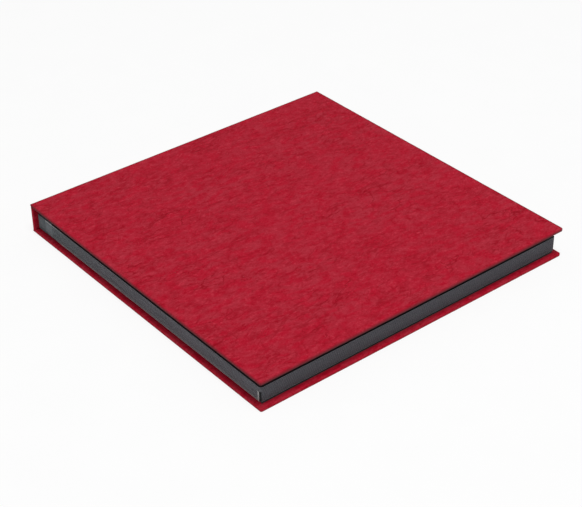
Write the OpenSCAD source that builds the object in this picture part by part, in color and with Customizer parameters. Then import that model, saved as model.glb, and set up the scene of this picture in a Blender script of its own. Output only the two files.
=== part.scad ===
// Stamp album: a square case-bound stock book. A leather-covered case (front
// cover, flat spine, back cover) holds card leaves with clear pocket strips.
// Each leaf swings on a linen guard that folds against a block glued to the spine.
// X runs from the spine to the fore edge, Y from the tail to the head, Z up.

/* [Case] */
// Width from the spine to the fore edge
album_w = 250; // [180:1:320]
// Length from the tail to the head
album_l = 252; // [182:1:340]
// Thickness of the boards in the covers and in the spine
board_t = 1.8; // [1.2:0.1:3]
// Thickness of the leather covering
skin_t = 0.3; // [0.2:0.05:0.5]
// Width of the covering that is turned in over a board
turn_in_w = 15; // [8:1:25]
// Corner radius of the covers at the fore edge
corner_r = 1.5; // [0.8:0.1:6]
// Radius on the covered edges of the boards
edge_r = 0.7; // [0.4:0.1:1]
// Space between a cover's board and the inner face of the spine
joint_gap = 0.6; // [0.3:0.1:4]
// Width of the slit where two turn-ins meet at a corner
seam_w = 0.15; // [0.1:0.05:0.4]

/* [Endpapers] */
// Thickness of the endpaper where it laps over the turn-ins
endpaper_t = 0.1; // [0.05:0.05:0.3]
// Leather left bare around the endpaper
endpaper_margin = 4; // [2:0.5:7]

/* [Leaves] */
// Overhang of the covers past the leaves at the fore edge
fore_square = 5; // [2:0.1:10]
// Overhang of the covers past the leaves at the tail
tail_square = 3.7; // [1:0.1:10]
// Overhang of the covers past the leaves at the head
head_square = 1; // [1:0.1:10]
// Room above the top leaf, for the thickness of the stamps to come
stamp_room = 6; // [0:0.5:15]
// Thickness of the card in a leaf
card_t = 0.4; // [0.3:0.05:1.2]
// Corner radius of the leaves at the fore edge
leaf_corner_r = 2; // [1:0.5:12]
// Thickness of the linen on each face of a leaf
linen_t = 0.1; // [0.05:0.05:0.2]
// Free linen between the deepest fold and the back edge of the card
linen_w = 4; // [1.5:0.5:15]
// Width of linen that is glued to the card
linen_lap = 8; // [4:0.5:14]

/* [Pocket strips] */
// Number of pocket strips on a page
strip_rows = 8; // [3:1:12]
// Thickness of the clear film
film_t = 0.05; // [0.05:0.05:0.15]
// Space for a stamp between the film and the card
pocket_gap = 0.1; // [0.1:0.05:0.3]
// Width of the weld along a strip's foot and ends
weld_w = 1.2; // [0.6:0.1:3]
// Bare card between one strip's mouth and the next strip's foot
strip_gap = 3; // [1:0.5:8]
// Bare card around the strips on a page
page_margin = 5; // [3:0.5:12]

/* [Glassine sheets] */
// Thickness of the sheet between two leaves
sheet_t = 0.05; // [0.05:0.01:0.12]
// Space between the sheet and the film under it
sheet_gap = 0.05; // [0.05:0.01:0.2]
// How far the sheet stands back from the leaf's edges
sheet_inset = 3; // [0.5:0.5:5]
// Width of the sheet's glued edge
sheet_glue_w = 4; // [2:0.5:6]

/* [Clearances] */
// Space between one leaf and the next
leaf_gap = 0.1; // [0.1:0.01:0.5]
// Space between a linen fold and the block behind it
fold_gap = 0.07; // [0.05:0.01:0.12]
// Space across the mitre where the coverings meet at the spine
mitre_gap = 0.06; // [0.04:0.01:0.2]
// Space around a board inside its covering
board_fit = 0.03; // [0.02:0.01:0.08]

/* [Hidden] */
leaf_count = 12;
CASE_NODES = ["back_board", "back_covering", "back_endpaper", "spine_board", "spine_covering",
    "spine_lining", "guard_block", "front_board", "front_covering", "front_endpaper"];
LEAF_KINDS = ["card", "guard", "pockets", "interleaf"];

leather = [0.65, 0.15, 0.21];
greyboard = "tan";
black_paper = [0.2, 0.2, 0.21];
black_card = [0.15, 0.15, 0.17];
linen = [0.45, 0.47, 0.5];
clear_film = [0.8, 0.85, 0.88];
glassine = [0.93, 0.93, 0.88];

$fn = 48;
// How far a cutting shape runs past what it cuts
cut = 2;

// The case
cover_t = 2 * skin_t + board_t;
board_start = cover_t + joint_gap;

// The leaves, stacked from the back cover up
film_top = card_t / 2 + pocket_gap + film_t;
sheet_z = film_top + sheet_gap;
sheet_top = sheet_z + sheet_t;
leaf_pitch = film_top + sheet_top + leaf_gap;
first_leaf_z = cover_t + endpaper_t + leaf_gap / 2 + film_top;
block_top = 2 * (cover_t + endpaper_t) + leaf_count * leaf_pitch;
album_h = block_top + stamp_room;
tail_y = -album_l / 2 + tail_square;
head_y = album_l / 2 - head_square;
leaf_l = head_y - tail_y;
fore_x = album_w - fore_square;
guard_r = card_t / 2 + linen_t;
card_start = first_leaf_z + (leaf_count / 2 - 1) * leaf_pitch + linen_w;

// The pocket strips
strip_x = card_start + linen_lap + page_margin;
strip_l = fore_x - page_margin - strip_x;
row_pitch = (leaf_l - 2 * page_margin + strip_gap) / strip_rows;
strip_h = row_pitch - strip_gap;

// Name of a leaf's piece, with the number in two digits
function numbered(kind, n) = str(kind, "_", n < 10 ? "0" : "", n);

// Height of a leaf's middle plane: leaf 1 is next to the front cover
function leaf_z(n) = first_leaf_z + (leaf_count - n) * leaf_pitch;

// Distance from the spine's outer face to a leaf's fold. The folds lie on two
// lines at 45 degrees, so that in the open album each leaf lies flat on the one
// below, and the first and last leaves on the covers.
function fold_x(n) = min(leaf_z(n), block_top - leaf_z(n));

// Rectangle with four round corners
module rounded_rect(x0, y0, x1, y1, r) {
    translate([x0 + r, y0])
        square([x1 - x0 - 2 * r, y1 - y0]);
    translate([x0, y0 + r])
        square([x1 - x0, y1 - y0 - 2 * r]);
    for (x = [x0 + r, x1 - r], y = [y0 + r, y1 - r])
        translate([x, y])
            circle(r);
}

// Rectangle with two round corners, at its far end in X
module page_outline(x0, y0, x1, y1, r) {
    translate([x0, y0])
        square([x1 - x0 - r, y1 - y0]);
    translate([x0, y0 + r])
        square([x1 - x0, y1 - y0 - 2 * r]);
    for (y = [y0 + r, y1 - r])
        translate([x1 - r, y])
            circle(r);
}

// Moves a piece that is drawn from the spine's outer face into the album's frame
module from_spine() {
    translate([-album_w / 2, 0, 0])
        children();
}

// Turns a piece of the back cover into the front cover's
module as_front() {
    translate([0, 0, album_h])
        mirror([0, 0, 1])
            children();
}

// Board-shaped slab with its edges rounded, drawn inset from the cover's outside.
// It runs on past x0, where the caller cuts it off.
module edged_slab(inset, x0) {
    plan_r = max(corner_r - inset, board_fit);
    side_r = max(edge_r - inset, board_fit);
    far_x = album_w - inset;
    half_l = album_l / 2 - inset;
    top_z = cover_t - inset;
    intersection() {
        linear_extrude(cover_t)
            page_outline(x0 - cut, -half_l, far_x, half_l, plan_r);
        translate([0, album_l / 2, 0])
            rotate([90, 0, 0])
                linear_extrude(album_l)
                    page_outline(x0 - cut, inset, far_x, top_z, side_r);
        translate([-album_w, 0, 0])
            rotate([90, 0, 90])
                linear_extrude(3 * album_w)
                    rounded_rect(-half_l, inset, half_l, top_z, side_r);
    }
}

// Block on one side of a sloping line through x and z, which cuts a mitre.
// An offset of 0 puts it above the line, and one of its own height below.
module mitre_cut(x, z, slope, offset_z) {
    translate([x, -album_l, z])
        rotate([0, -slope, 0])
            translate([-album_h, 0, offset_z])
                cube([2 * album_h, 2 * album_l, album_h]);
}

// Slit where the fore edge's turn-in meets another at 45 degrees
module corner_seam(side) {
    reach = turn_in_w * sqrt(2);
    translate([album_w - turn_in_w, side * (album_l / 2 - turn_in_w), cover_t])
        rotate([0, 0, side * 45])
            cube([2 * reach, seam_w, 2 * skin_t], center = true);
}

// Leather over a cover: outside, three edges, and turn-ins with mitred corners
module cover_skin() {
    window_l = album_l - 2 * turn_in_w;
    difference() {
        edged_slab(0, 0);
        // the board's seat, open towards the spine
        edged_slab(skin_t, board_start);
        // the field inside the turn-ins
        translate([board_start - cut, -window_l / 2, skin_t + board_t / 2])
            cube([album_w - turn_in_w - board_start + cut, window_l, cover_t]);
        // the joint, where only the outer leather runs on to the spine
        translate([-cut, -album_l, skin_t])
            cube([board_start + cut, 2 * album_l, cover_t]);
        // the mitre at the spine's outer edge
        mitre_cut(mitre_gap, 0, 45, 0);
        for (side = [-1, 1])
            corner_seam(side);
    }
}

// Grey board inside a cover
module cover_board() {
    intersection() {
        edged_slab(skin_t + board_fit, board_start);
        translate([board_start, -album_l / 2, 0])
            cube([album_w, album_l, cover_t]);
    }
}

// Paper inside a cover: it fills the field between the turn-ins and laps over them
module cover_endpaper() {
    field_l = album_l - 2 * turn_in_w - 2 * board_fit;
    field_end = album_w - turn_in_w - board_fit;
    lap_l = album_l - 2 * endpaper_margin;
    translate([board_start, -field_l / 2, skin_t + board_t])
        cube([field_end - board_start, field_l, skin_t + endpaper_t]);
    translate([board_start, -lap_l / 2, cover_t])
        cube([album_w - endpaper_margin - board_start, lap_l, endpaper_t]);
}

module back_board() {
    color(greyboard)
        from_spine()
            cover_board();
}

module back_covering() {
    color(leather)
        from_spine()
            cover_skin();
}

module back_endpaper() {
    color(black_paper)
        from_spine()
            cover_endpaper();
}

module front_board() {
    color(greyboard)
        from_spine()
            as_front()
                cover_board();
}

module front_covering() {
    color(leather)
        from_spine()
            as_front()
                cover_skin();
}

module front_endpaper() {
    color(black_paper)
        from_spine()
            as_front()
                cover_endpaper();
}

// Spine-shaped slab with its end edges rounded, drawn inset from the spine's outside
module spine_slab(inset, z0, z1) {
    side_r = max(edge_r - inset, board_fit);
    translate([0, 0, z0])
        linear_extrude(z1 - z0)
            rounded_rect(inset, -album_l / 2 + inset, cover_t - inset, album_l / 2 - inset, side_r);
}

module spine_board() {
    end_z = skin_t + joint_gap / 2 + board_fit;
    color(greyboard)
        from_spine()
            spine_slab(skin_t + board_fit, end_z, album_h - end_z);
}

// Leather over the spine: outside, two ends, and a turn-in at each end
module spine_covering() {
    end_z = skin_t + joint_gap / 2;
    window_l = album_l - 2 * turn_in_w;
    color(leather)
        from_spine()
            difference() {
                spine_slab(0, 0, album_h);
                spine_slab(skin_t, -cut, album_h + cut);
                translate([skin_t + board_t / 2, -window_l / 2, -cut])
                    cube([cover_t, window_l, album_h + 2 * cut]);
                for (z = [-cut, album_h - end_z])
                    translate([skin_t, -album_l, z])
                        cube([cover_t, 2 * album_l, end_z + cut]);
                // the mitres where the covers' leather comes in
                mitre_cut(0, mitre_gap, 45, -album_h);
                mitre_cut(0, album_h - mitre_gap, -45, 0);
            }
}

// Strip glued to the spine's board between the turn-ins
module spine_lining() {
    end_z = skin_t + joint_gap / 2 + board_fit;
    lining_l = album_l - 2 * turn_in_w - 2 * board_fit;
    color(black_paper)
        from_spine()
            translate([skin_t + board_t, -lining_l / 2, end_z])
                cube([skin_t, lining_l, album_h - 2 * end_z]);
}

// Stack of glued linen and card that carries the leaves: one step behind each fold
module guard_block() {
    color(linen)
        from_spine()
            for (n = [1 : leaf_count])
                translate([cover_t, tail_y, leaf_z(n) - leaf_pitch / 2])
                    cube([fold_x(n) - guard_r - fold_gap - cover_t, leaf_l, leaf_pitch]);
}

module card(n) {
    color(black_card)
        from_spine()
            translate([0, 0, leaf_z(n) - card_t / 2])
                linear_extrude(card_t)
                    page_outline(card_start, tail_y, fore_x, head_y, leaf_corner_r);
}

// Linen guard: a round fold, a doubled strip, and a fork that takes the card's edge
module guard(n) {
    color(linen)
        from_spine()
            translate([fold_x(n), head_y, leaf_z(n)])
                rotate([90, 0, 0])
                    linear_extrude(leaf_l) {
                        circle(guard_r);
                        translate([0, -guard_r])
                            square([card_start - fold_x(n), 2 * guard_r]);
                        for (z = [-guard_r, card_t / 2])
                            translate([0, z])
                                square([card_start + linen_lap - fold_x(n), linen_t]);
                    }
}

// One clear strip: welded at its foot and ends, open towards the head
module pocket_strip() {
    difference() {
        cube([strip_l, strip_h, pocket_gap + film_t]);
        translate([weld_w, weld_w, -cut])
            cube([strip_l - 2 * weld_w, strip_h, pocket_gap + cut]);
    }
}

module page_of_strips() {
    for (row = [0 : strip_rows - 1])
        translate([strip_x, tail_y + page_margin + row * row_pitch, card_t / 2])
            pocket_strip();
}

module pockets(n) {
    color(clear_film)
        from_spine()
            translate([0, 0, leaf_z(n)]) {
                page_of_strips();
                mirror([0, 0, 1])
                    page_of_strips();
            }
}

// Glassine sheet over a leaf, tipped in on the guard along its back edge
module interleaf(n) {
    back_x = card_start + sheet_inset;
    color(glassine)
        from_spine()
            translate([0, 0, leaf_z(n)]) {
                translate([0, 0, sheet_z])
                    linear_extrude(sheet_t)
                        page_outline(back_x, tail_y + sheet_inset, fore_x - sheet_inset,
                            head_y - sheet_inset, leaf_corner_r);
                translate([back_x, tail_y + sheet_inset, guard_r])
                    cube([sheet_glue_w, leaf_l - 2 * sheet_inset, sheet_top - guard_r]);
            }
}

back_board();
back_covering();
back_endpaper();
spine_board();
spine_covering();
spine_lining();
guard_block();
front_board();
front_covering();
front_endpaper();
for (n = [1 : leaf_count]) {
    card(n);
    guard(n);
    pockets(n);
    interleaf(n);
}
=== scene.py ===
# Stamp album lying closed: a leather-covered case over grey boards, with twelve
# black card leaves, clear pocket strips, linen guards and glassine sheets.
# Everything is in metres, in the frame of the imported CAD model.
import math

import bmesh
import bpy
from mathutils import Matrix, Vector, noise


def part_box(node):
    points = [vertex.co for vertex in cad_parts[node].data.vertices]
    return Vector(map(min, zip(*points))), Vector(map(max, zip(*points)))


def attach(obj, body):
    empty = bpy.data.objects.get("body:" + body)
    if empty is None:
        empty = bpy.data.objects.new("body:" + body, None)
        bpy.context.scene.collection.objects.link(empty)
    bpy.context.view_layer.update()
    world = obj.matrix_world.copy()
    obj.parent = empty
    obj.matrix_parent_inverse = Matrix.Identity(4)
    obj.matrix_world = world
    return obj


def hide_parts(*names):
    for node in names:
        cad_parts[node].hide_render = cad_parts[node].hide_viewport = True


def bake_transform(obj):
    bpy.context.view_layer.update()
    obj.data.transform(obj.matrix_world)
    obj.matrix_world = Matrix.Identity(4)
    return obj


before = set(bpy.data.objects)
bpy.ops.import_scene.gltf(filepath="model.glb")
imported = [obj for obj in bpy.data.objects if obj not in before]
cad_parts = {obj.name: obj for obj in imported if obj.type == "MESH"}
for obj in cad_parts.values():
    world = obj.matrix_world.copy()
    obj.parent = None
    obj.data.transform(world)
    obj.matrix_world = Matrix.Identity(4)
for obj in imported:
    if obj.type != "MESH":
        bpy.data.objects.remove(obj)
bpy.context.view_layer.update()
mm = 0.001
touching = 0.01 * mm    # places closer than this are the same place

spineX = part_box("spine_covering")[0].x
foreX, halfLength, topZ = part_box("front_covering")[1]
print("frame loaded, album thickness", round(topZ / mm, 2), "mm")


# Modelling helpers

def clearSelection():
    if bpy.context.object and bpy.context.object.mode != "OBJECT":
        bpy.ops.object.mode_set(mode="OBJECT")
    bpy.ops.object.select_all(action="DESELECT")


def pickNone(mesh):
    for parts in (mesh.faces, mesh.edges, mesh.verts):
        for part in parts:
            part.select = False


def pickVerts(piece, test):
    # selects the vertices that pass the test, and the edges and faces between them
    mesh = bmesh.from_edit_mesh(piece.data)
    pickNone(mesh)
    for vert in mesh.verts:
        vert.select = test(vert)
    mesh.select_flush(True)
    bmesh.update_edit_mesh(piece.data, loop_triangles=False, destructive=False)


def pickEdges(piece, test):
    mesh = bmesh.from_edit_mesh(piece.data)
    pickNone(mesh)
    for edge in mesh.edges:
        if test(edge):
            edge.select_set(True)
    bmesh.update_edit_mesh(piece.data, loop_triangles=False, destructive=False)


def pushEdges(x, y, z):
    bpy.ops.mesh.extrude_edges_move(TRANSFORM_OT_translate={"value": (x, y, z)})


def cutPlane(point, normal, clearOuter=False):
    bpy.ops.mesh.select_all(action="SELECT")
    bpy.ops.mesh.bisect(plane_co=point, plane_no=normal, use_fill=False, clear_outer=clearOuter)


def splitLongEdges(piece, axis, longerThan, cuts):
    def isLong(edge):
        first, second = edge.verts
        return abs(first.co[axis] - second.co[axis]) > longerThan

    pickEdges(piece, isLong)
    bpy.ops.mesh.subdivide(number_cuts=cuts)


def startPlane(name, centre, size, rotation=(0, 0, 0)):
    # one flat face, open for editing by its edges
    clearSelection()
    bpy.ops.mesh.primitive_plane_add(size=1, location=centre, rotation=rotation)
    piece = bpy.context.object
    piece.name = piece.data.name = name
    piece.scale = (*size, 1)
    bpy.ops.object.transform_apply(location=True, rotation=True, scale=True)
    bpy.ops.object.mode_set(mode="EDIT")
    bpy.ops.mesh.select_mode(type="EDGE")
    return piece


def rollSteps(radius, steps):
    # small moves (outwards, downwards) that run round a quarter of a circle
    moves = []
    for step in range(steps):
        start = math.pi / 2 * step / steps
        end = math.pi / 2 * (step + 1) / steps
        moves.append((radius * (math.sin(end) - math.sin(start)),
                      radius * (math.cos(start) - math.cos(end))))
    return moves


def thicken(piece, thickness):
    skin = piece.modifiers.new("skin", "SOLIDIFY")
    skin.thickness = thickness
    skin.offset = -1
    skin.use_even_offset = True
    bpy.ops.object.modifier_apply(modifier=skin.name)


def clamped(value):
    return min(1.0, max(0.0, value))


# Leather creases, in millimetres: x across the cover, y from tail to head

crinkle = {
    "depth": 0.09,                  # deepest crease
    "strayX": (4.0, 31),            # how far a crease strays, and over what length
    "strayY": (7.0, 37),
    "longSize": (5.0, 26.0, 6),     # creases that run from tail to head
    "longPatches": (19, 0.55),      # size of the patches that hold them, and their share
    "longDepth": 0.62,
    "longWidth": 0.26,
    "crossSize": (9.0, 7.5, 8),     # shorter creases across
    "crossPatches": (16, 0.35),
    "crossDepth": 0.38,
    "crossWidth": 0.2,
    "patchContrast": 1.6,
    "sharpness": 1.3,
    "hollowSize": 17.0,             # soft hollows between creases
    "hollowDepth": 0.28,
    "smoothBelow": math.radians(50),
}


def ridge(value, width):
    return max(0.0, 1 - abs(value) / width) ** crinkle["sharpness"]


def patchAt(place, size, share, offset):
    value = share + crinkle["patchContrast"] * noise.noise(place / size + Vector(offset))
    return clamped(value)


def creaseAt(x, y, z, seed):
    # 0 on the smooth leather, 1 at the bottom of a crease; each noise is read at an
    # offset of its own, so that the patterns don't fall together
    place = Vector((x, y, z + seed))
    reach, length = crinkle["strayX"]
    strayX = reach * noise.noise(place / length)
    reach, length = crinkle["strayY"]
    strayY = reach * noise.noise(place / length + Vector((5, 3, 1)))
    across, along, high = crinkle["longSize"]
    long = noise.noise(Vector(((x + strayX) / across, (y + strayY) / along, (z + seed) / high)))
    across, along, high = crinkle["crossSize"]
    cross = noise.noise(Vector(((x + strayY) / across, (y - strayX) / along,
                                (z + seed) / high + 20)))
    longPatch = patchAt(place, *crinkle["longPatches"], (9, 2, 4))
    crossPatch = patchAt(place, *crinkle["crossPatches"], (1, 7, 8))
    hollow = 0.5 + 0.5 * noise.noise(place / crinkle["hollowSize"] + Vector((3, 3, 3)))
    depth = crinkle["longDepth"] * longPatch * ridge(long, crinkle["longWidth"])
    depth += crinkle["crossDepth"] * crossPatch * ridge(cross, crinkle["crossWidth"])
    depth += crinkle["hollowDepth"] * hollow
    return min(1.0, depth)


def crinkleLeather(piece, outerCount, fade, seed):
    # only the outer side is creased: its vertices come first in the mesh
    mesh = piece.data
    crease = mesh.attributes.new("crease", "FLOAT", "POINT")
    depths = [0.0] * len(mesh.vertices)
    normals = [vert.normal.copy() for vert in mesh.vertices]
    for index in range(outerCount):
        vert = mesh.vertices[index]
        place = vert.co / mm
        depth = creaseAt(place.x, place.y, place.z, seed)
        depths[index] = depth
        vert.co -= normals[index] * (depth * fade(vert.co) * crinkle["depth"] * mm)
    crease.data.foreach_set("value", depths)
    mesh.update()


def finishLeather(piece, skin, fade, seed):
    # from an edited skin to a creased piece with thickness
    bpy.ops.mesh.normals_make_consistent(inside=False)
    bpy.ops.object.mode_set(mode="OBJECT")
    outerCount = len(piece.data.vertices)
    thicken(piece, skin)
    crinkleLeather(piece, outerCount, fade, seed)
    bpy.ops.object.shade_smooth_by_angle(angle=crinkle["smoothBelow"])
    print(piece.name, "triangles", sum(len(p.vertices) - 2 for p in piece.data.polygons))


# Leather over the two covers

coverLeather = {
    "skin": 0.3 * mm,
    "edgeRoll": 0.7 * mm,       # radius where the leather goes over a board's edge
    "rollSteps": 5,
    "foreCorner": 0.8 * mm,     # plan radius of the flat face at the fore corners
    "spineCorner": 0.15 * mm,
    "facets": (11.25, 33.75, 56.25, 78.75),     # degrees round a corner
    "thickness": 2.4 * mm,      # board with leather on both sides
    "boardStart": 3.0 * mm,     # from the spine's outer face
    "jointDrop": 1.2 * mm,      # how far the leather comes down the spine's face
    "turnIn": 15 * mm,
    "turnInSteps": 4,
    "seam": 0.1 * mm,           # gap at a mitre
    "longEdges": 180 * mm,      # edges longer than this are split first
    "middleEdges": 10 * mm,     # and then those longer than this
    "cuts": (13, 12),
    "merge": 0.002 * mm,
    "spineBand": 1.5 * mm,      # beside the spine creases fade out over spineFade
    "spineFade": 1.2 * mm,
    "spineCreases": 0.8,
    "turnedFrom": 0.5 * mm,     # below the flat face creases are shallower
    "turnedCreases": 0.45,
}


def makeCoverLeather(name, isBack, seed):
    look = coverLeather
    roll = look["edgeRoll"]
    x0, x1 = spineX + roll, foreX - roll
    y1 = halfLength - roll
    boardX = spineX + look["boardStart"]
    piece = startPlane(name, ((x0 + x1) / 2, 0, topZ), (x1 - x0, 2 * y1))

    # lines where the board starts and where the corners begin
    for x in (x0 + look["spineCorner"], boardX, x1 - look["foreCorner"]):
        cutPlane((x, 0, 0), (1, 0, 0))
    for y in (y1 - look["foreCorner"], y1 - look["spineCorner"]):
        for side in (-1, 1):
            cutPlane((0, side * y, 0), (0, 1, 0))

    # rounded corners, cut facet by facet
    corners = []
    for sideX, edgeX, radius in ((1, x1, look["foreCorner"]), (-1, x0, look["spineCorner"])):
        for sideY in (-1, 1):
            centre = Vector((edgeX - sideX * radius, sideY * (y1 - radius), topZ))
            corners.append((centre, sideX, sideY, radius))
            for angle in look["facets"]:
                outX, outY = math.cos(math.radians(angle)), math.sin(math.radians(angle))
                normal = Vector((sideX * outX, sideY * outY, 0))
                cutPlane(centre + normal * radius, normal, clearOuter=True)

    def ringOf():
        mesh = bmesh.from_edit_mesh(piece.data)
        return {vert.index for vert in mesh.verts if vert.select}

    def spreadRing(ring, outward, spread):
        # corners grow about their centres, and straight runs move out
        mesh = bmesh.from_edit_mesh(piece.data)
        done = set()
        for centre, sideX, sideY, radius in corners:
            now = radius + spread
            group = {i for i in ring
                     if (mesh.verts[i].co.x - centre.x) * sideX > -touching
                     and (mesh.verts[i].co.y - centre.y) * sideY > -touching}
            if not group:
                continue
            done |= group
            pickVerts(piece, lambda vert: vert.index in group)
            scale = (now + outward) / now
            bpy.ops.transform.resize(value=(scale, scale, 1), center_override=centre)
        for side in (-1, 1):
            rest = {i for i in ring - done if mesh.verts[i].co.y * side > y1 - touching}
            if rest:
                done |= rest
                pickVerts(piece, lambda vert: vert.index in rest)
                bpy.ops.transform.translate(value=(0, side * outward, 0))
        rest = ring - done
        if rest:
            pickVerts(piece, lambda vert: vert.index in rest)
            bpy.ops.transform.translate(value=(-outward, 0, 0))

    def growRing(outward, spread, down):
        # one more step of leather: down, then outwards by the given amount
        pushEdges(0, 0, -down)
        mesh = bmesh.from_edit_mesh(piece.data)
        mesh.verts.index_update()
        mesh.verts.ensure_lookup_table()
        ring = ringOf()
        if outward:
            spreadRing(ring, outward, spread)
        pickEdges(piece, lambda edge: edge.is_boundary
                  and all(v.index in ring for v in edge.verts))

    # over the edge on all four sides, and a little way down
    pickEdges(piece, lambda edge: edge.is_boundary)
    spread = 0
    for outward, down in rollSteps(roll, look["rollSteps"]):
        growRing(outward, spread, down)
        spread += outward
    growRing(0, spread, look["jointDrop"] - roll)

    # round the boards' three free edges to the inside
    ring = ringOf()
    pickEdges(piece, lambda edge: edge.is_boundary
              and all(v.index in ring and v.co.x > boardX - touching for v in edge.verts))
    growRing(0, spread, look["thickness"] - roll - look["jointDrop"])
    for down, inward in rollSteps(roll, look["rollSteps"]):
        growRing(-inward, spread, down)
        spread -= inward

    # turn-ins with mitred corners
    innerZ = topZ - look["thickness"]
    foreCentreX = x1 - look["foreCorner"]
    foreCentreY = y1 - look["foreCorner"]
    slant = look["foreCorner"] * math.sqrt(0.5)
    step = (look["turnIn"] - roll) / look["turnInSteps"]

    def onInnerRing(edge):
        return edge.is_boundary and all(abs(v.co.z - innerZ) < touching for v in edge.verts)

    def pastMitre(edge):
        middle = (edge.verts[0].co + edge.verts[1].co) / 2
        return (middle.x - foreCentreX) - (abs(middle.y) - foreCentreY)

    def mitreSteps(reach):
        # each step of a turn-in is shorter, and the first also leaves the seam
        for count in range(look["turnInSteps"]):
            shorter = reach - step - (look["seam"] if count == 0 else 0)
            yield shorter / reach
            reach = shorter

    for side in (-1, 1):
        pickEdges(piece, lambda edge: onInnerRing(edge) and edge.verts[0].co.y * side > 0
                  and pastMitre(edge) < 0 and min(v.co.x for v in edge.verts) < x1
                  and min(abs(v.co.y) for v in edge.verts) > foreCentreY - touching)
        for scale in mitreSteps(foreCentreX + slant - boardX):
            pushEdges(0, -side * step, 0)
            bpy.ops.transform.resize(value=(scale, 1, 1), center_override=(boardX, 0, innerZ))
    pickEdges(piece, lambda edge: onInnerRing(edge) and pastMitre(edge) > 0
              and min(v.co.x for v in edge.verts) > foreCentreX - touching)
    for scale in mitreSteps(foreCentreY + slant):
        pushEdges(-step, 0, 0)
        bpy.ops.transform.resize(value=(1, scale, 1), center_override=(0, 0, innerZ))

    # fine grid for the creases
    firstCuts, secondCuts = look["cuts"]
    for axis in (0, 1):
        splitLongEdges(piece, axis, look["longEdges"], firstCuts)
        splitLongEdges(piece, axis, look["middleEdges"], secondCuts)
    bpy.ops.mesh.select_all(action="SELECT")
    if isBack:
        bpy.ops.transform.resize(value=(1, 1, -1), center_override=(0, 0, topZ / 2))
    bpy.ops.mesh.remove_doubles(threshold=look["merge"])

    def fade(co):
        # no creases where the leather meets the spine's, and shallower ones on turned edges
        depth = co.z if isBack else topZ - co.z
        if co.x < spineX + look["spineBand"]:
            return clamped((look["jointDrop"] - depth) / look["spineFade"]) * look["spineCreases"]
        return 1.0 if depth < look["turnedFrom"] else look["turnedCreases"]

    finishLeather(piece, look["skin"], fade, seed)
    return piece


frontLeather = makeCoverLeather("frontLeather", isBack=False, seed=0)
backLeather = makeCoverLeather("backLeather", isBack=True, seed=340)


# Leather over the spine

spineLook = {
    "boardEnd": 0.35 * mm,      # where the leather under the covers' leather stops
    "tuck": 0.31 * mm,          # how far that part lies under it
    "turnInSteps": 4,
    "cells": 13,
    "seamFade": 1.2 * mm,       # creases fade out towards the covers' leather
    "faceCreases": 0.8,
    "faceReach": 0.5 * mm,      # further in than this the leather is turned over
    "turnedCreases": 0.3,
}


def makeSpineLeather(name, seed):
    look = spineLook
    cover = coverLeather
    roll = cover["edgeRoll"]
    y1 = halfLength - roll
    z0, z1 = cover["jointDrop"], topZ - cover["jointDrop"]
    turnInStep = (cover["turnIn"] - roll) / look["turnInSteps"]
    piece = startPlane(name, (spineX, 0, (z0 + z1) / 2), (z1 - z0, 2 * y1),
                       rotation=(0, -math.pi / 2, 0))
    for side in (-1, 1):
        pickEdges(piece, lambda edge: all(v.co.y * side > y1 - touching for v in edge.verts))
        for outward, inward in rollSteps(roll, cover["rollSteps"]):
            pushEdges(inward, side * outward, 0)
        pushEdges(cover["thickness"] - 2 * roll, 0, 0)
        for inward, back in rollSteps(roll, cover["rollSteps"]):
            pushEdges(inward, -side * back, 0)
        for _ in range(look["turnInSteps"]):
            pushEdges(0, -side * turnInStep, 0)

    # the two long edges are stepped in, to lie under the covers' leather
    middle = (spineX + cover["thickness"] / 2, 0, topZ / 2)
    scale = (1 - look["tuck"] / (cover["thickness"] / 2), 1 - look["tuck"] / halfLength, 1)
    for edgeZ, direction in ((z0, -1), (z1, 1)):
        pickEdges(piece, lambda edge: edge.is_boundary
                  and all(abs(v.co.z - edgeZ) < touching for v in edge.verts))
        pushEdges(0, 0, 0)
        bpy.ops.transform.resize(value=scale, center_override=middle)
        pushEdges(0, 0, direction * (cover["jointDrop"] - look["boardEnd"]))

    # fine grid for the creases
    firstCuts, secondCuts = cover["cuts"]
    splitLongEdges(piece, 1, cover["longEdges"], firstCuts)
    splitLongEdges(piece, 1, cover["middleEdges"], secondCuts)
    splitLongEdges(piece, 2, cover["middleEdges"], look["cells"])
    bpy.ops.mesh.select_all(action="SELECT")

    def fade(co):
        # no creases at the covers' leather, and shallow ones where it is turned over
        if co.x > spineX + look["faceReach"]:
            return look["turnedCreases"]
        fromSeam = min(co.z - z0, z1 - co.z)
        return look["faceCreases"] * clamped(fromSeam / look["seamFade"])

    finishLeather(piece, cover["skin"], fade, seed)
    return piece


spineLeather = makeSpineLeather("spineLeather", seed=0)


# Helpers for the finishes

def newFinish(name):
    finish = bpy.data.materials.new(name)
    finish.use_nodes = True
    tree = finish.node_tree
    shader = tree.nodes["Principled BSDF"]
    place = tree.nodes.new("ShaderNodeTexCoord")
    return finish, tree, shader, place


def mapped(tree, vector, scale, turn=0.0):
    node = tree.nodes.new("ShaderNodeMapping")
    node.inputs["Scale"].default_value = scale
    node.inputs["Rotation"].default_value = (0, 0, math.radians(turn))
    tree.links.new(vector, node.inputs["Vector"])
    return node.outputs["Vector"]


def axesOf(tree, vector):
    node = tree.nodes.new("ShaderNodeSeparateXYZ")
    tree.links.new(vector, node.inputs["Vector"])
    return node.outputs["X"], node.outputs["Y"], node.outputs["Z"]


def grain(tree, vector, scale, detail=3, roughness=0.5, distortion=0.0):
    node = tree.nodes.new("ShaderNodeTexNoise")
    node.inputs["Scale"].default_value = scale
    node.inputs["Detail"].default_value = detail
    node.inputs["Roughness"].default_value = roughness
    node.inputs["Distortion"].default_value = distortion
    tree.links.new(vector, node.inputs["Vector"])
    return node.outputs["Fac"]


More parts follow.
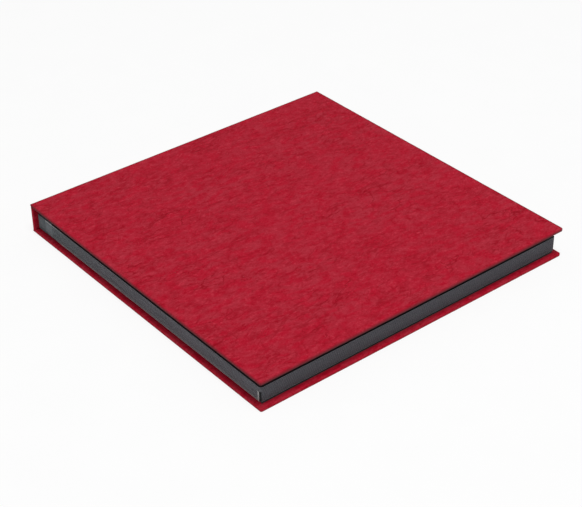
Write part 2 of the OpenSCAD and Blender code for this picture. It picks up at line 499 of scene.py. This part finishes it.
def cracks(tree, vector, scale):
    node = tree.nodes.new("ShaderNodeTexVoronoi")
    node.feature = "DISTANCE_TO_EDGE"
    node.inputs["Scale"].default_value = scale
    tree.links.new(vector, node.inputs["Vector"])
    return node.outputs["Distance"]


def stretched(tree, value, low, high, toLow=0.0, toHigh=1.0):
    node = tree.nodes.new("ShaderNodeMapRange")
    node.interpolation_type = "SMOOTHSTEP"
    node.inputs["From Min"].default_value = low
    node.inputs["From Max"].default_value = high
    node.inputs["To Min"].default_value = toLow
    node.inputs["To Max"].default_value = toHigh
    tree.links.new(value, node.inputs["Value"])
    return node.outputs["Result"]


def worked(tree, operation, first, second=0):
    node = tree.nodes.new("ShaderNodeMath")
    node.operation = operation
    for socket, value in zip(node.inputs, (first, second)):
        if isinstance(value, (int, float)):
            socket.default_value = value
        else:
            tree.links.new(value, socket)
    return node.outputs["Value"]


def times(tree, first, second):
    return worked(tree, "MULTIPLY", first, second)


def larger(tree, first, second):
    return worked(tree, "MAXIMUM", first, second)


def blended(tree, first, firstShare, second, secondShare):
    return worked(tree, "ADD", times(tree, first, firstShare), times(tree, second, secondShare))


def tinted(tree, factor, first, second):
    node = tree.nodes.new("ShaderNodeMix")
    node.data_type = "RGBA"
    # the sockets for colours have the same names as those for numbers, so they go by place
    sockets = (node.inputs[0], factor), (node.inputs[6], first), (node.inputs[7], second)
    for socket, value in sockets:
        if isinstance(value, (int, float)):
            socket.default_value = value
        elif isinstance(value, tuple):
            socket.default_value = (*value, 1.0)
        else:
            tree.links.new(value, socket)
    return node.outputs[2]


def wandered(tree, vector, amount, scale):
    # bends a pattern's coordinates with soft noise, so that its lines wander
    node = tree.nodes.new("ShaderNodeTexNoise")
    node.inputs["Scale"].default_value = scale
    node.inputs["Detail"].default_value = 2
    tree.links.new(vector, node.inputs["Vector"])
    centred = tree.nodes.new("ShaderNodeVectorMath")
    centred.operation = "SUBTRACT"
    tree.links.new(node.outputs["Color"], centred.inputs[0])
    centred.inputs[1].default_value = (0.5, 0.5, 0.5)
    bent = tree.nodes.new("ShaderNodeVectorMath")
    bent.operation = "MULTIPLY_ADD"
    tree.links.new(centred.outputs["Vector"], bent.inputs[0])
    bent.inputs[1].default_value = (amount, amount, amount)
    tree.links.new(vector, bent.inputs[2])
    return bent.outputs["Vector"]


def embossed(tree, shader, height, distance):
    node = tree.nodes.new("ShaderNodeBump")
    node.inputs["Strength"].default_value = 1.0
    node.inputs["Distance"].default_value = distance
    tree.links.new(height, node.inputs["Height"])
    tree.links.new(node.outputs["Normal"], shader.inputs["Normal"])


def dress(tree, shader, look, colour, gloss, height=None):
    # colour, roughness that follows a pattern, and relief
    tree.links.new(colour, shader.inputs["Base Color"])
    rough = stretched(tree, gloss, *look["roughnessRange"])
    tree.links.new(rough, shader.inputs["Roughness"])
    shader.inputs["Specular IOR Level"].default_value = look["specular"]
    if height is not None:
        embossed(tree, shader, height, look["relief"])


def attributeOf(tree, name):
    node = tree.nodes.new("ShaderNodeAttribute")
    node.attribute_name = name
    return node.outputs["Fac"]


def patches(tree, vector, scale, turn, low, high):
    # soft patches in which a pattern shows
    soft = grain(tree, mapped(tree, vector, scale, turn), 1, detail=2)
    return stretched(tree, soft, low, high)


def creaseLines(tree, vector, scale, turn, width, mask):
    # thin wandering lines where the noise passes its middle value, broken up by a mask
    wander = grain(tree, mapped(tree, vector, scale, turn), 1, roughness=0.55, distortion=0.35)
    off = worked(tree, "ABSOLUTE", worked(tree, "SUBTRACT", wander, 0.5))
    return times(tree, stretched(tree, off, 0.0, width, 1, 0), mask)


def between(tree, value, low, high, soft):
    # 1 between the two values, fading to 0 outside them
    rise = stretched(tree, value, low - soft, low + soft)
    return times(tree, rise, stretched(tree, value, high - soft, high + soft, 1, 0))


# Finishes: pattern scales are per metre, and turns are in degrees. A range gives two values
# of a pattern or place and the strength at each, or 0 and 1 where it gives no strengths.

leatherFinish = {
    "base": (0.400, 0.0108, 0.0285),
    "rich": (0.421, 0.0015, 0.0185),
    "richRange": (0.34, 0.54, 0.55, 0),
    # greyish patches of painted sheen
    "paintedSheen": (0.383, 0.0305, 0.048),
    "paintedSheenRange": (0.40, 0.68, 0, 0.62),
    "hollow": (0.334, 0.0002, 0.0110),      # painted shade in the low places of the fine grain
    "hollowRange": (0.34, 0.50, 1, 0),
    "ridge": (0.514, 0.0340, 0.0580),       # painted sheen on its high places
    "ridgeRange": (0.50, 0.66, 0, 0.80),
    "fold": (0.275, 0.0006, 0.009),         # painted shade in the creases
    "creaseRange": (0.35, 0.95, 0, 0.10),
    "rim": (0.130, 0.022, 0.024),           # darker outer edges, and painted contact shadow at the bottom
    "rimRange": (0.35, 0.6, 0.45, 0.85),
    "under": (0.140, 0.026, 0.033),         # painted shade on the lower side of the top cover's edges
    "underRange": (0.92, 0.25),
    "roughnessRange": (0.3, 0.7, 0.50, 0.70),
    "specular": 0.043,
    "relief": 0.12 * mm,
    # wandering creases: scale, turn, half width
    "longLines": ((170, 45, 170), 7, 0.050),
    "deepLines": ((75, 24, 75), 14, 0.014),
    "fineLines": ((420, 170, 420), -9, 0.100),
    # the patches they show in: scale, turn, range
    "longPatches": ((75, 40, 75), 0, 0.50, 0.60),
    "deepPatches": ((38, 20, 38), 20, 0.53, 0.60),
    "finePatches": ((90, 110, 90), 50, 0.50, 0.60),
    "net": ((170, 95, 170), 24),
    "netRange": (0.0, 0.07, 1, 0),
    "netPatches": ((110, 70, 110), -40, 0.47, 0.60),
    # grain and blotches: scale, turn, and then detail, roughness and distortion
    "wave": (((430, 210, 430), 8), (4, 0.7, 0.4)),
    "patch": (((34, 20, 34), 30), (3, 0.6, 0.5)),
    "blotch": (((190, 95, 190), -12), (2, 0.45)),
    "speck": (800, 3, 0.75),
    "pores": (1500, 2, 0.6),
    "wander": (0.008, 50),
    # strengths
    "fineStrength": 0.6,
    "netStrength": 0.8,
    "lineColour": 0.62,
    "deepColour": 0.85,
    "speckShare": 0.45,
    "lineHeight": 0.5,
    "speckHeight": 0.55,
    "poreHeight": 0.12,
    # places, measured inwards from the case's outer faces
    "rimBand": (1.5 * mm, 0.7 * mm),
    "contactShadowHeights": (0.25 * mm, 0.8 * mm),
    "rimTop": (0.9 * mm, 0.5 * mm),
    "edgeBand": (1.0 * mm, 0.4 * mm),
    "underDepth": (1.8 * mm, -0.1 * mm),
    "underEnd": (2.7 * mm, 2.5 * mm),
}


def makeLeather():
    look = leatherFinish
    finish, tree, shader, place = newFinish("crimsonLeather")
    here = place.outputs["Object"]
    bent = wandered(tree, here, *look["wander"])

    def texture(vector, name):
        mapping, noiseValues = look[name]
        return grain(tree, mapped(tree, vector, *mapping), 1, *noiseValues)

    # creases from tail to head, and finer ones across
    longPatches = patches(tree, here, *look["longPatches"])
    longLines = creaseLines(tree, bent, *look["longLines"], longPatches)
    deepPatches = patches(tree, here, *look["deepPatches"])
    deepLines = creaseLines(tree, here, *look["deepLines"], deepPatches)
    finePatches = patches(tree, here, *look["finePatches"])
    fineLines = creaseLines(tree, bent, *look["fineLines"], finePatches)
    net = stretched(tree, cracks(tree, mapped(tree, bent, *look["net"]), 1), *look["netRange"])
    netLines = times(tree, net, patches(tree, here, *look["netPatches"]))
    lines = larger(tree, longLines, times(tree, fineLines, look["fineStrength"]))
    lines = larger(tree, lines, times(tree, netLines, look["netStrength"]))
    wave = texture(bent, "wave")
    speck = grain(tree, here, *look["speck"])
    pores = grain(tree, here, *look["pores"])
    crease = attributeOf(tree, "crease")

    # greyer patches of painted sheen, and richer patches, of several sizes
    blotch = texture(bent, "blotch")
    sheenPattern = blended(tree, texture(here, "patch"), 0.5, blotch, 0.5)
    paintedSheen = stretched(tree, sheenPattern, *look["paintedSheenRange"])
    colour = tinted(tree, paintedSheen, look["base"], look["paintedSheen"])
    colour = tinted(tree, stretched(tree, blotch, *look["richRange"]), colour, look["rich"])
    # painted shade in the fine grain's hollows, and painted sheen on its ridges
    fine = blended(tree, speck, look["speckShare"], wave, 1 - look["speckShare"])
    colour = tinted(tree, stretched(tree, fine, *look["hollowRange"]), colour, look["hollow"])
    colour = tinted(tree, stretched(tree, fine, *look["ridgeRange"]), colour, look["ridge"])
    # painted shade along the crease lines and in the mesh's creases
    colour = tinted(tree, times(tree, lines, look["lineColour"]), colour, look["fold"])
    colour = tinted(tree, times(tree, deepLines, look["deepColour"]), colour, look["fold"])
    colour = tinted(tree, stretched(tree, crease, *look["creaseRange"]), colour, look["fold"])

    # the covers' outer edges at the head and spine are darker, and the lowest edge by the floor
    # gets painted contact shadow
    x, y, z = axesOf(tree, here)
    outer, inner = look["rimBand"]
    atHead = stretched(tree, y, halfLength - outer, halfLength - inner)
    atSpine = stretched(tree, x, spineX + inner, spineX + outer, 1, 0)
    outer, inner = look["rimTop"]
    atTop = stretched(tree, z, topZ - outer, topZ - inner)
    paintedContactShadow = stretched(tree, z, *look["contactShadowHeights"], 1, 0)
    rim = larger(tree, times(tree, larger(tree, atHead, atSpine), atTop), paintedContactShadow)
    rim = times(tree, rim, stretched(tree, wave, *look["rimRange"]))
    colour = tinted(tree, rim, colour, look["rim"])

    # painted shade: the top cover's fore and tail edges darken towards their lower side
    outer, inner = look["edgeBand"]
    atFore = stretched(tree, x, foreX - outer, foreX - inner)
    atTail = stretched(tree, y, inner - halfLength, outer - halfLength, 1, 0)
    outer, inner = look["underDepth"]
    lower = stretched(tree, z, topZ - outer, topZ - inner, *look["underRange"])
    outer, inner = look["underEnd"]
    lower = times(tree, lower, stretched(tree, z, topZ - outer, topZ - inner))
    lower = times(tree, lower, larger(tree, atFore, atTail))
    colour = tinted(tree, lower, colour, look["under"])

    height = worked(tree, "SUBTRACT", wave, times(tree, lines, look["lineHeight"]))
    height = worked(tree, "SUBTRACT", height, deepLines)
    height = worked(tree, "ADD", height, times(tree, speck, look["speckHeight"]))
    height = worked(tree, "ADD", height, times(tree, pores, look["poreHeight"]))
    dress(tree, shader, look, colour, sheenPattern, height)
    return finish


cardFinish = {
    "face": (0.016, 0.016, 0.018),
    "faceWorn": (0.030, 0.030, 0.033),
    "wornRange": (0.35, 0.7),
    "edge": (0.275, 0.272, 0.304),
    "edgeDark": (0.205, 0.203, 0.228),
    "plyRange": (0.35, 0.65),
    "edgePale": (0.560, 0.560, 0.560),      # paler edges on the lowest leaves
    "paleRange": (2.8 * mm, 5.2 * mm, 0.8, 0),
    "edgeCool": (0.240, 0.285, 0.300),      # towards the spine
    "coolRange": (-110 * mm, -30 * mm, 0.7, 0),
    # painted shade on the leaves' fore edges
    "foreEdgeShade": (0.188, 0.196, 0.222),
    "foreRange": (0.5, 0.95, 0, 0.8),
    "paintedHighlight": (0.900, 0.880, 0.880),        # painted highlight
    "topLineX": (-112 * mm, -85 * mm, 0.55, 0),     # painted highlight along the top leaf's edge
    "topLineZ": (12.2 * mm, 12.5 * mm),
    "cornerX": (117.20 * mm, 118.45 * mm),          # painted glint on the corner at the tail and fore edge
    "cornerY": (-119.5 * mm, -118.5 * mm, 1, 0),
    "cornerZ": (2.7 * mm, 9.6 * mm),
    "cornerSoft": 0.12 * mm,
    "cornerSoftZ": 0.4 * mm,
    "cornerShadeStreak": (0.15 * mm, 1.25 * mm),         # painted dark streak of shade beside it
    "shadeSlope": -0.085,                           # shade on the lowest leaves by the spine
    "shadeStart": -5.6 * mm,
    "shadeRange": (-0.3 * mm, 0.3 * mm, 1, 0),
    "flatRange": (0.5, 0.8, 1, 0),                  # how upright a face is
    "fibres": (900, 4, 0.65),
    "plies": (24, 24, 2400),
    "roughnessRange": (0.3, 0.7, 0.62, 0.85),
    "specular": 0.35,
    "relief": 0.03 * mm,
}


def makeCard():
    look = cardFinish
    finish, tree, shader, place = newFinish("blackCard")
    here = place.outputs["Object"]
    normalX, _, normalZ = axesOf(tree, place.outputs["Normal"])
    isEdge = stretched(tree, worked(tree, "ABSOLUTE", normalZ), *look["flatRange"])
    x, y, z = axesOf(tree, here)
    fibres = grain(tree, here, *look["fibres"])
    plies = grain(tree, mapped(tree, here, look["plies"]), 1, detail=2)
    worn = stretched(tree, fibres, *look["wornRange"])
    face = tinted(tree, worn, look["face"], look["faceWorn"])
    edge = tinted(tree, stretched(tree, plies, *look["plyRange"]), look["edgeDark"], look["edge"])
    edge = tinted(tree, stretched(tree, x, *look["coolRange"]), edge, look["edgeCool"])
    edge = tinted(tree, stretched(tree, z, *look["paleRange"]), edge, look["edgePale"])
    edge = tinted(tree, stretched(tree, normalX, *look["foreRange"]), edge, look["foreEdgeShade"])
    paintedTopHighlight = times(tree, stretched(tree, z, *look["topLineZ"]),
                    stretched(tree, x, *look["topLineX"]))
    edge = tinted(tree, paintedTopHighlight, edge, look["paintedHighlight"])

    # the lowest leaves are in deep shade beside the spine
    wedge = worked(tree, "ADD", times(tree, x, look["shadeSlope"]), look["shadeStart"])
    shade = stretched(tree, worked(tree, "SUBTRACT", z, wedge), *look["shadeRange"])
    edge = tinted(tree, shade, edge, look["face"])

    # painted highlight on the leaves' corner at the tail and fore edge, with a painted dark
    # streak of shade beside it
    soft = look["cornerSoft"]
    cornerEnd = look["cornerX"][1]
    shadeStreakStart, shadeStreakEnd = (cornerEnd + reach for reach in look["cornerShadeStreak"])
    corner = times(tree, stretched(tree, y, *look["cornerY"]),
                   between(tree, z, *look["cornerZ"], look["cornerSoftZ"]))
    pale = times(tree, corner, between(tree, x, *look["cornerX"], soft))
    hollow = times(tree, corner, between(tree, x, shadeStreakStart, shadeStreakEnd, soft))
    edge = tinted(tree, pale, edge, look["paintedHighlight"])
    edge = tinted(tree, hollow, edge, look["face"])
    colour = tinted(tree, isEdge, face, edge)
    dress(tree, shader, look, colour, fibres, fibres)
    return finish


linenFinish = {
    "warp": (0.210, 0.240, 0.255),
    "weft": (0.130, 0.148, 0.160),
    "slub": (0.095, 0.108, 0.118),      # thicker, darker threads
    "slubScale": (300, 60, 900),
    "slubRange": (0.3, 0.7, 0, 0.5),
    "thread": 0.45 * mm,
    "unevenness": 0.6,
    "roughnessRange": (0.3, 0.7, 0.75, 0.95),
    "specular": 0.25,
    "relief": 0.06 * mm,
}


def makeLinen():
    look = linenFinish
    finish, tree, shader, place = newFinish("greyLinen")
    here = place.outputs["Object"]
    perMetre = 1 / look["thread"] / 2       # a thread and the gap beside it
    wavePeriod = math.pi / 10               # the wave texture repeats after this at scale 1
    bands = []
    for direction in ("X", "Y"):
        node = tree.nodes.new("ShaderNodeTexWave")
        node.bands_direction = direction
        node.inputs["Scale"].default_value = perMetre * wavePeriod
        node.inputs["Distortion"].default_value = look["unevenness"]
        node.inputs["Detail"].default_value = 2
        tree.links.new(here, node.inputs["Vector"])
        bands.append(node.outputs["Fac"])
    slub = grain(tree, mapped(tree, here, look["slubScale"]), 1)
    weave = larger(tree, *bands)
    colour = tinted(tree, weave, look["weft"], look["warp"])
    colour = tinted(tree, stretched(tree, slub, *look["slubRange"]), colour, look["slub"])
    dress(tree, shader, look, colour, slub, weave)
    return finish


filmFinish = {
    "clear": (0.99, 0.99, 1.0),
    "smeared": (0.93, 0.95, 0.97),
    "smearScale": (60, 200, 60),
    "roughnessRange": (0.3, 0.7, 0.05, 0.16),
    "specular": 0.5,
    "refraction": 1.45,
}


def makeFilm():
    look = filmFinish
    finish, tree, shader, place = newFinish("clearFilm")
    here = place.outputs["Object"]
    smear = grain(tree, mapped(tree, here, look["smearScale"]), 1, roughness=0.6, distortion=0.4)
    colour = tinted(tree, smear, look["smeared"], look["clear"])
    dress(tree, shader, look, colour, smear)
    shader.inputs["Transmission Weight"].default_value = 1.0
    shader.inputs["IOR"].default_value = look["refraction"]
    return finish


glassineFinish = {
    "milky": (0.80, 0.80, 0.76),
    "bright": (0.90, 0.90, 0.87),
    "cloudRange": (0.35, 0.65),
    "fibre": (0.70, 0.70, 0.66),
    "fibreScale": (900, 350, 900),
    "fibreTurn": 20,
    "fibreRange": (0.45, 0.7, 0, 0.4),
    "cloud": (70, 5, 0.65),
    "roughnessRange": (0.3, 0.7, 0.28, 0.42),
    "opacityRange": (0.35, 0.7, 0.26, 0.40),
    "specular": 0.5,
    "relief": 0.03 * mm,
}


def makeGlassine():
    look = glassineFinish
    finish, tree, shader, place = newFinish("glassineSheet")
    here = place.outputs["Object"]
    cloud = grain(tree, here, *look["cloud"])
    stretchedHere = mapped(tree, here, look["fibreScale"], look["fibreTurn"])
    fibres = grain(tree, stretchedHere, 1, roughness=0.6)
    clouded = stretched(tree, cloud, *look["cloudRange"])
    colour = tinted(tree, clouded, look["milky"], look["bright"])
    colour = tinted(tree, stretched(tree, fibres, *look["fibreRange"]), colour, look["fibre"])
    dress(tree, shader, look, colour, cloud, fibres)
    opacity = stretched(tree, fibres, *look["opacityRange"])
    tree.links.new(opacity, shader.inputs["Alpha"])
    return finish


greyboardFinish = {
    "dark": (0.20, 0.185, 0.165),
    "pale": (0.33, 0.31, 0.28),
    "paleRange": (0.35, 0.65),
    "ply": (0.16, 0.15, 0.135),
    "plyScale": (60, 60, 3500),
    "plyRange": (0.3, 0.7, 0, 0.4),
    "fleck": (0.10, 0.09, 0.085),
    "fleckScale": 700,
    "fleckRange": (0.0, 0.08, 0.5, 0),
    "fibres": (1100, 5, 0.7),
    "roughnessRange": (0.3, 0.7, 0.8, 0.95),
    "specular": 0.5,
    "relief": 0.08 * mm,
}


def makeGreyboard():
    look = greyboardFinish
    finish, tree, shader, place = newFinish("greyboard")
    here = place.outputs["Object"]
    fibres = grain(tree, here, *look["fibres"])
    plies = grain(tree, mapped(tree, here, look["plyScale"]), 1)
    flecks = cracks(tree, here, look["fleckScale"])
    colour = tinted(tree, stretched(tree, fibres, *look["paleRange"]), look["dark"], look["pale"])
    colour = tinted(tree, stretched(tree, plies, *look["plyRange"]), colour, look["ply"])
    colour = tinted(tree, stretched(tree, flecks, *look["fleckRange"]), colour, look["fleck"])
    dress(tree, shader, look, colour, fibres, fibres)
    return finish


paperFinish = {
    "black": (0.014, 0.014, 0.015),
    "worn": (0.034, 0.033, 0.034),
    "wornRange": (0.35, 0.7),
    "mottle": (0.024, 0.023, 0.025),
    "mottleScale": 60,
    "mottleRange": (0.4, 0.7, 0, 0.5),
    "tooth": (1300, 4, 0.7),
    "roughnessRange": (0.3, 0.7, 0.7, 0.9),
    "specular": 0.3,
    "relief": 0.05 * mm,
}


def makeBlackPaper():
    look = paperFinish
    finish, tree, shader, place = newFinish("blackPaper")
    here = place.outputs["Object"]
    tooth = grain(tree, here, *look["tooth"])
    mottle = grain(tree, here, look["mottleScale"])
    colour = tinted(tree, stretched(tree, tooth, *look["wornRange"]), look["black"], look["worn"])
    colour = tinted(tree, stretched(tree, mottle, *look["mottleRange"]), colour, look["mottle"])
    dress(tree, shader, look, colour, tooth, tooth)
    return finish


leather = makeLeather()
card = makeCard()
linen = makeLinen()
film = makeFilm()
glassine = makeGlassine()
greyboard = makeGreyboard()
blackPaper = makeBlackPaper()

finishOf = {
    "back_board": greyboard, "spine_board": greyboard, "front_board": greyboard,
    "back_endpaper": blackPaper, "front_endpaper": blackPaper, "spine_lining": blackPaper,
    "back_covering": leather, "spine_covering": leather, "front_covering": leather,
    "guard_block": linen, "guard": linen, "card": card, "pockets": film, "interleaf": glassine,
}
for nodeName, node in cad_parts.items():
    kind = nodeName if nodeName in finishOf else nodeName.rsplit("_", 1)[0]
    node.data.materials.clear()
    node.data.materials.append(finishOf[kind])
for piece in (frontLeather, backLeather, spineLeather):
    piece.data.materials.clear()
    piece.data.materials.append(leather)
print("finishes set on", len(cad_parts), "nodes")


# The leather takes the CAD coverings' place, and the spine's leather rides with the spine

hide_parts("front_covering")
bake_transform(frontLeather)
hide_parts("back_covering")
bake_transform(backLeather)
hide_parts("spine_covering")
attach(spineLeather, "spine")


# Floor, light and camera

studio = {
    "floorSize": 8.0,
    "floorColour": (0.88, 0.88, 0.88),
    "floorPale": (0.91, 0.91, 0.91),
    "floorGrain": 30,
    "floorRange": (0.3, 0.7),
    "floorRoughness": 0.9,
    "floorSpecular": 0.1,
    "floorGlow": 0.85,       # how much of the floor's look is plain white
    "skyStrength": 0.42,
    "skySeen": 0.935,        # what the camera sees behind the floor
    "keyPower": 17.0,
    "keyFrom": (0.42, -0.15, 1.66),
    "keySize": 0.5,
}


def seenBy(tree):
    # 1 for what the camera sees, also in gloss and through film
    path = tree.nodes.new("ShaderNodeLightPath")
    seen = larger(tree, path.outputs["Is Glossy Ray"], path.outputs["Is Transmission Ray"])
    return larger(tree, path.outputs["Is Camera Ray"], seen)


clearSelection()
bpy.ops.mesh.primitive_plane_add(size=studio["floorSize"], location=(0, 0, 0))
floor = bpy.context.object
floor.name = "floor"
floorFinish, tree, floorShader, place = newFinish("paleFloor")
mottle = grain(tree, place.outputs["Object"], studio["floorGrain"])
mottle = stretched(tree, mottle, *studio["floorRange"])
floorColour = tinted(tree, mottle, studio["floorColour"], studio["floorPale"])
tree.links.new(floorColour, floorShader.inputs["Base Color"])
floorShader.inputs["Roughness"].default_value = studio["floorRoughness"]
floorShader.inputs["Specular IOR Level"].default_value = studio["floorSpecular"]
whiteGlow = tree.nodes.new("ShaderNodeEmission")
whiteGlow.inputs["Strength"].default_value = 1.0
floorMix = tree.nodes.new("ShaderNodeMixShader")
tree.links.new(times(tree, seenBy(tree), studio["floorGlow"]), floorMix.inputs[0])
tree.links.new(floorShader.outputs[0], floorMix.inputs[1])
tree.links.new(whiteGlow.outputs[0], floorMix.inputs[2])
tree.links.new(floorMix.outputs[0], tree.nodes["Material Output"].inputs["Surface"])
floor.data.materials.append(floorFinish)

world = bpy.data.worlds.new("studioSky")
bpy.context.scene.world = world
world.use_nodes = True
skyTree = world.node_tree
sky = skyTree.nodes["Background"]
sky.inputs["Color"].default_value = (1, 1, 1, 1)
skyStrength = skyTree.nodes.new("ShaderNodeMapRange")
skyStrength.inputs["To Min"].default_value = studio["skyStrength"]
skyStrength.inputs["To Max"].default_value = studio["skySeen"]
skyTree.links.new(seenBy(skyTree), skyStrength.inputs["Value"])
skyTree.links.new(skyStrength.outputs["Result"], sky.inputs["Strength"])

bpy.ops.object.light_add(type="AREA", location=studio["keyFrom"])
keyLight = bpy.context.object
keyLight.name = "keyLight"
keyLight.data.energy = studio["keyPower"]
keyLight.data.size = studio["keySize"]
keyLight.rotation_euler = (-Vector(studio["keyFrom"])).to_track_quat("-Z", "Y").to_euler()

view = {
    "azimuth": 51.080,      # degrees
    "elevation": 33.860,
    "roll": -0.561,
    "distance": 1.0095,
    "target": (0.00860, -0.00879, 0.0),
    "lens": 94.07,          # millimetres
    "sensor": 36,
}
azimuth, elevation, roll = (math.radians(view[key]) for key in ("azimuth", "elevation", "roll"))
backward = Vector((math.sin(azimuth) * math.cos(elevation),
                   -math.cos(azimuth) * math.cos(elevation), math.sin(elevation)))
right = (-backward).cross(Vector((0, 0, 1))).normalized()
up = right.cross(-backward)
turnedRight = right * math.cos(roll) + up * math.sin(roll)
turnedUp = up * math.cos(roll) - right * math.sin(roll)
cameraData = bpy.data.cameras.new("camera")
cameraData.sensor_width = view["sensor"]
cameraData.lens = view["lens"]
camera = bpy.data.objects.new("camera", cameraData)
bpy.context.scene.collection.objects.link(camera)
turn = Matrix((turnedRight, turnedUp, backward)).transposed().to_4x4()
spot = Vector(view["target"]) + backward * view["distance"]
camera.matrix_world = Matrix.Translation(spot) @ turn
bpy.context.scene.camera = camera
bpy.context.scene.view_settings.view_transform = "Standard"
print("stage, light and camera ready")
